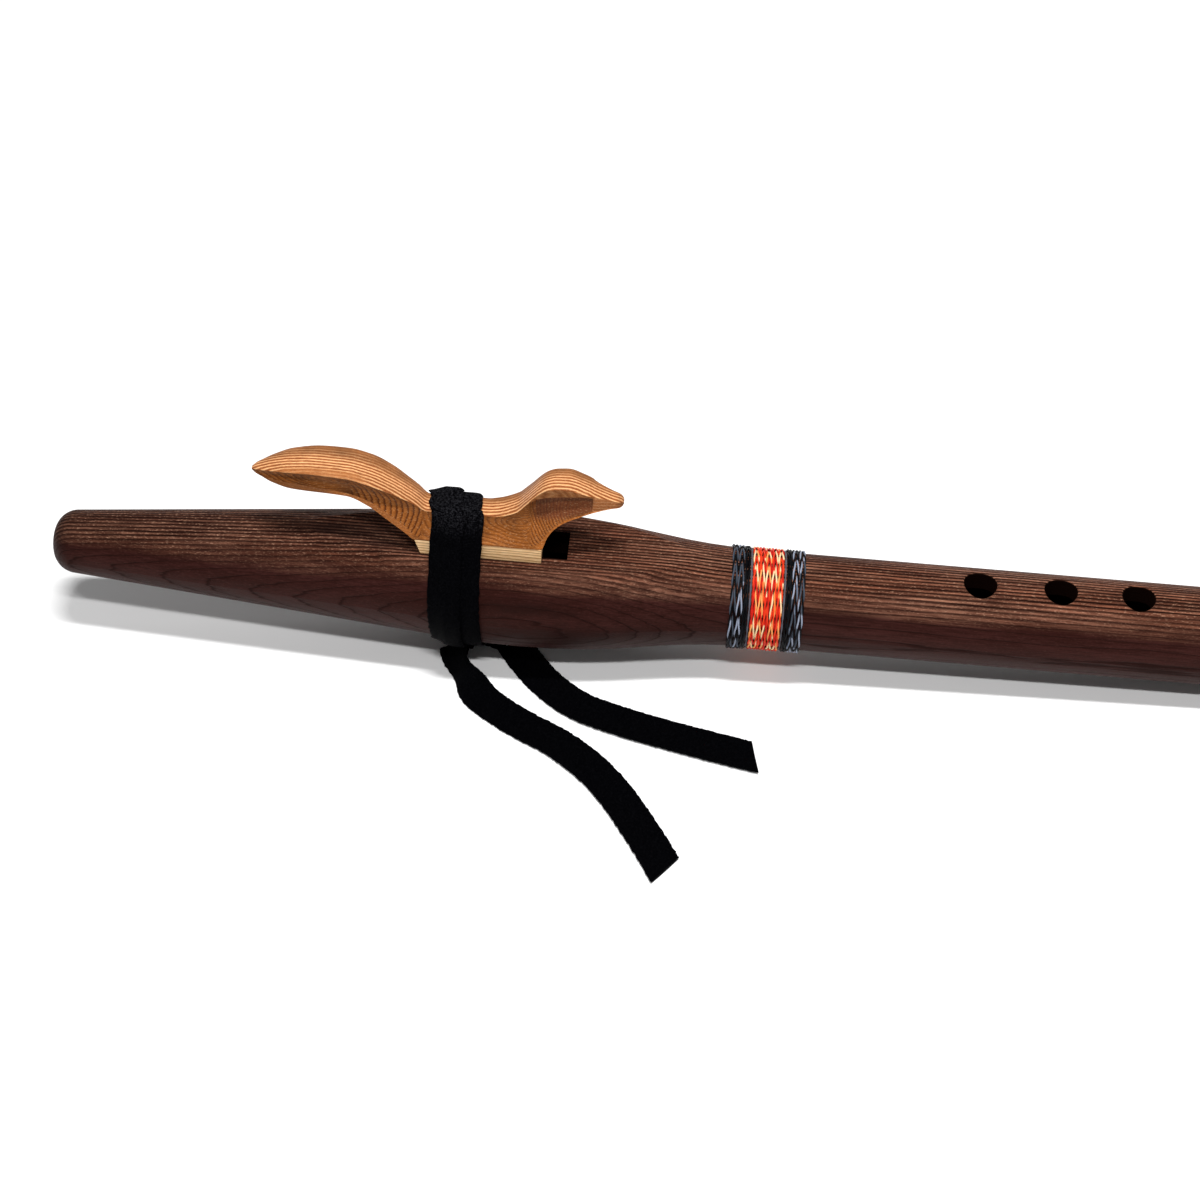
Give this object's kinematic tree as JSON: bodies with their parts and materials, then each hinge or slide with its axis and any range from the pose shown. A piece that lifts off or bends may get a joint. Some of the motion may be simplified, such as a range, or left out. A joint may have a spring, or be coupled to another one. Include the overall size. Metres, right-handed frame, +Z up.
{
  "type": "native american flute",
  "caption": "Two-chamber wooden end-blown flute with a carved bird block tied over its flue by a suede strap, wound thread bands and finger holes along the barrel.",
  "frame": {"origin": "on the floor, at the centre of the flute's box without the free strap tails", "axes": "+X from the mouth end to the foot end, +Z up through the block and the finger holes, -Y to the side that the strap tails lie on; the flute leans down by about 2 degrees towards its foot, as it rests on its strap knot"},
  "size_m": [0.5084, 0.1219, 0.078],
  "materials": {
    "body_wood": "dark-stained cedar, satin, with fine dark grain lines",
    "block_wood": "reddish cedar, oiled satin, with straight grain on top and curved grain on the sides",
    "base_wood": "pale sapwood, satin",
    "suede": "black suede, matt, with fuzzy edges",
    "thread_grey": "twisted grey and black thread",
    "thread_black": "twisted black thread",
    "thread_orange": "thread dyed in runs of red, orange and yellow"
  },
  "bodies": {
    "flute_body": {"barrel_top": "body_wood", "barrel_bottom": "body_wood", "strap_wraps": "suede", "strap_knot": "suede", "strap_tail_left": "suede", "strap_tail_right": "suede", "thread_grey_left": "thread_grey", "thread_black_left": "thread_black", "thread_orange": "thread_orange", "thread_black_right": "thread_black", "thread_grey_right": "thread_grey"},
    "block": {"bird_block": "block_wood", "block_base": "base_wood"}
  },
  "joints": [
    {"name": "block_slide", "type": "slide", "parent": "flute_body", "child": "block", "axis": [-0.9994, 0, 0.0347], "range_m": [0, 0.003]}
  ]
}
